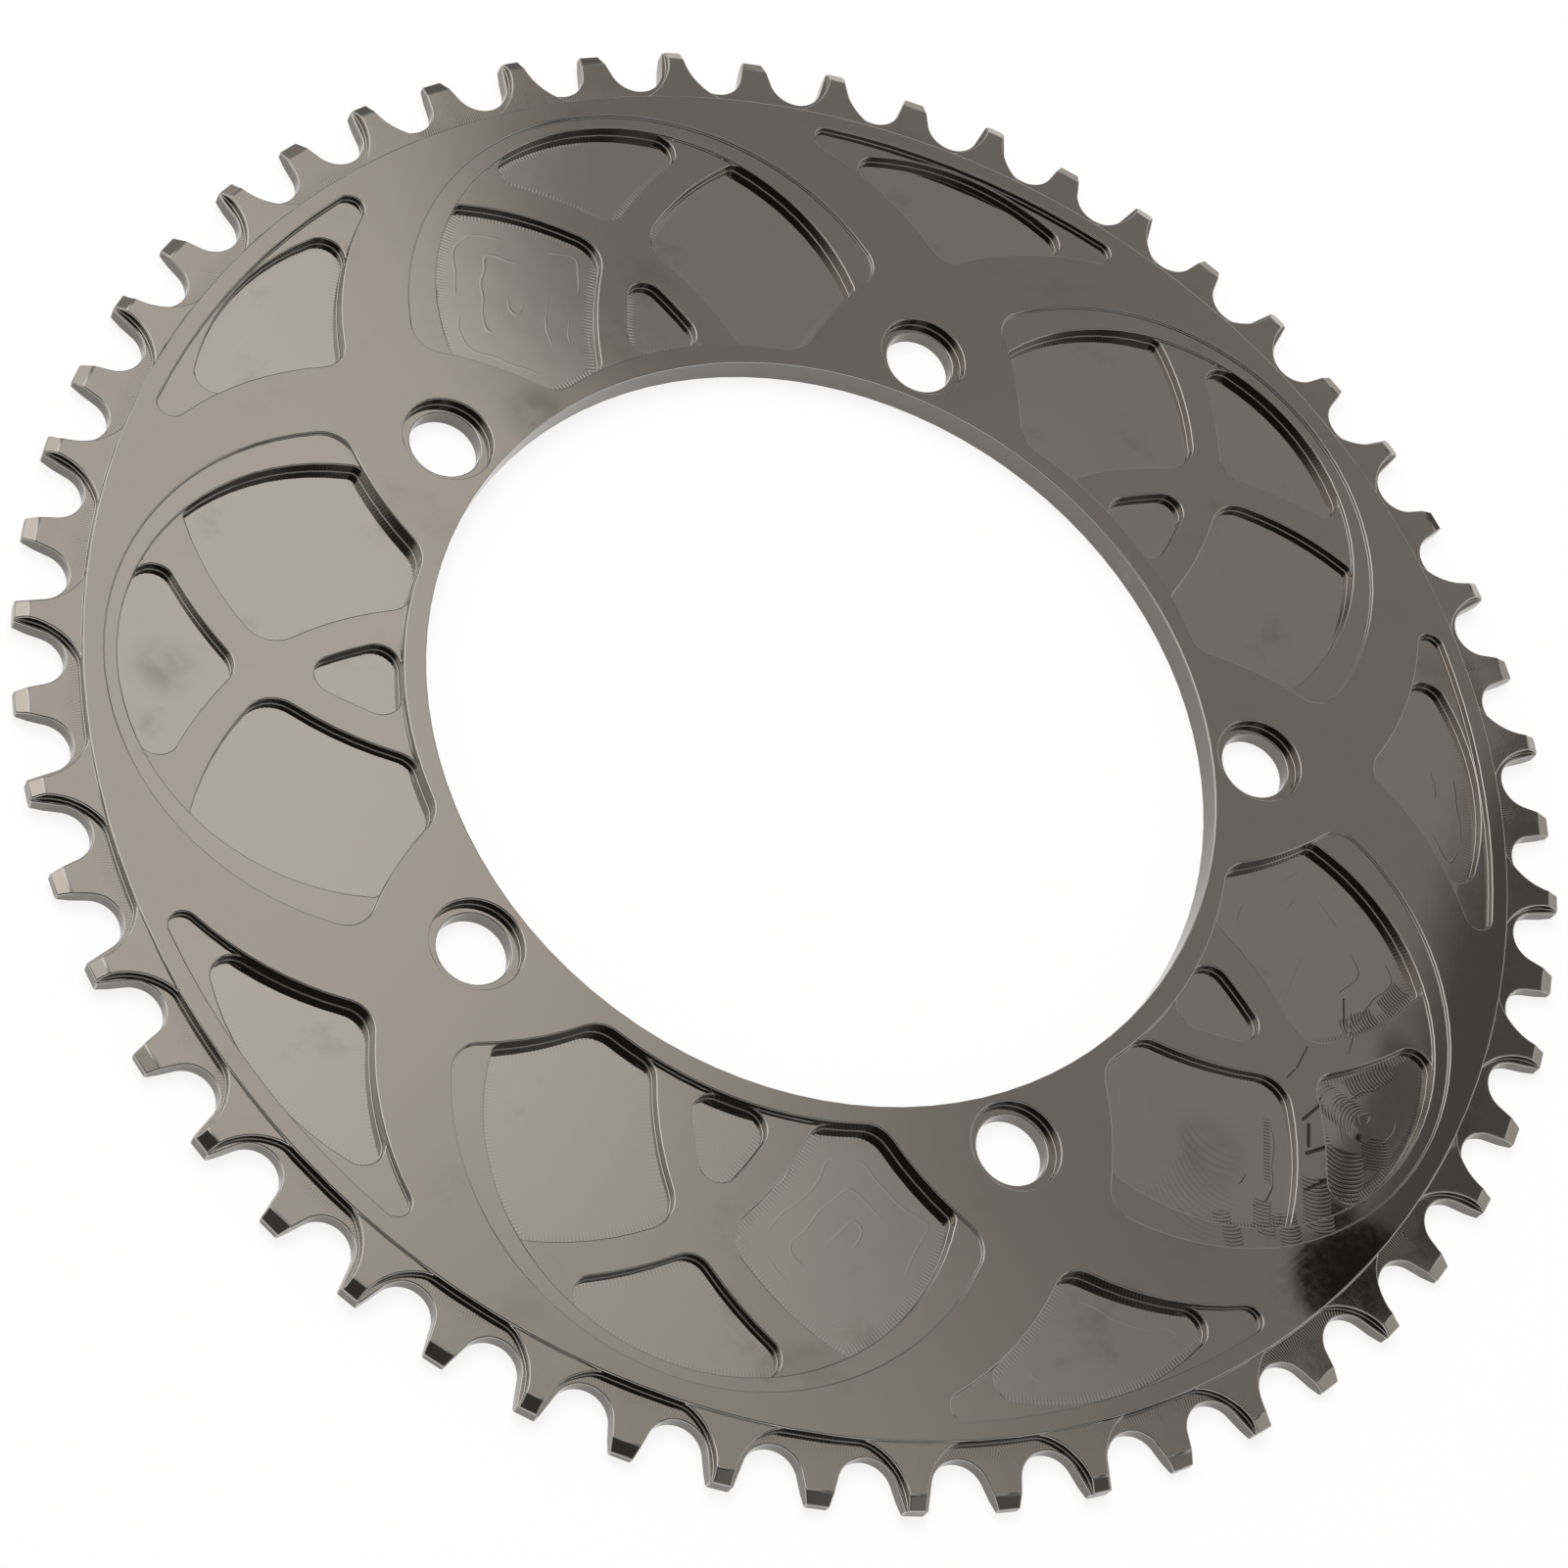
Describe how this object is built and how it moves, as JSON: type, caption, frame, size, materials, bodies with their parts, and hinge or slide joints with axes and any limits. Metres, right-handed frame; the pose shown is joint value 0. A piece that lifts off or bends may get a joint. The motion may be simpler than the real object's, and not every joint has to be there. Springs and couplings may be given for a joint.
{
  "type": "bicycle chainring",
  "caption": "Flat toothed ring for a bicycle crank, with wide and narrow teeth in turn, milled pockets that leave arched ribs, and stepped bolt holes.",
  "frame": {"origin": "middle of the bore, on the flat back face that the ring lies on", "axes": "+Z along the bore axis, out of the pocketed front face; +X through the middle of a window pocket and a wide tooth; a bolt hole lies on -X"},
  "size_m": [0.224, 0.2238, 0.0042],
  "materials": {
    "plated_aluminium": "satin-gloss hard finish in a warm gunmetal grey over milled aluminium"
  },
  "bodies": {
    "root": {"chainring": "plated_aluminium"}
  },
  "joints": []
}
